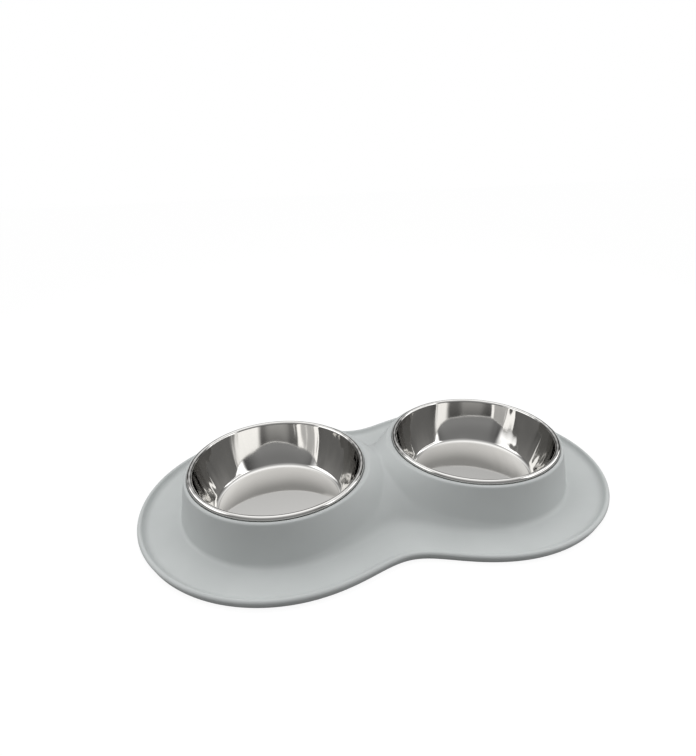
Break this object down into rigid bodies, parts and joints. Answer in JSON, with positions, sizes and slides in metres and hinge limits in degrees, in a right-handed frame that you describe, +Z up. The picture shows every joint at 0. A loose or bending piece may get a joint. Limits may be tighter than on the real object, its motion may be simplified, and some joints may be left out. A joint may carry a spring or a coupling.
{
  "type": "double pet bowl",
  "caption": "Steel feeding bowls hung by their rolled rims in one moulded silicone base with a lipped spill tray and a low saddle.",
  "frame": {"origin": "on the ground, under the middle of the silicone base", "axes": "+X along the base towards the right bowl, +Y towards the back, +Z up"},
  "size_m": [0.4056, 0.2308, 0.0408],
  "materials": {
    "silicone": "matte moulded silicone, light cool grey",
    "steel": "polished stainless steel"
  },
  "bodies": {
    "base": {"silicone_base": "silicone"},
    "left_bowl": {"left_bowl": "steel"},
    "right_bowl": {"right_bowl": "steel"}
  },
  "joints": [
    {"name": "left_bowl_lift", "type": "slide", "parent": "base", "child": "left_bowl", "axis": [0, 0, 1], "range_m": [0, 0.06]},
    {"name": "right_bowl_lift", "type": "slide", "parent": "base", "child": "right_bowl", "axis": [0, 0, 1], "range_m": [0, 0.06]}
  ]
}
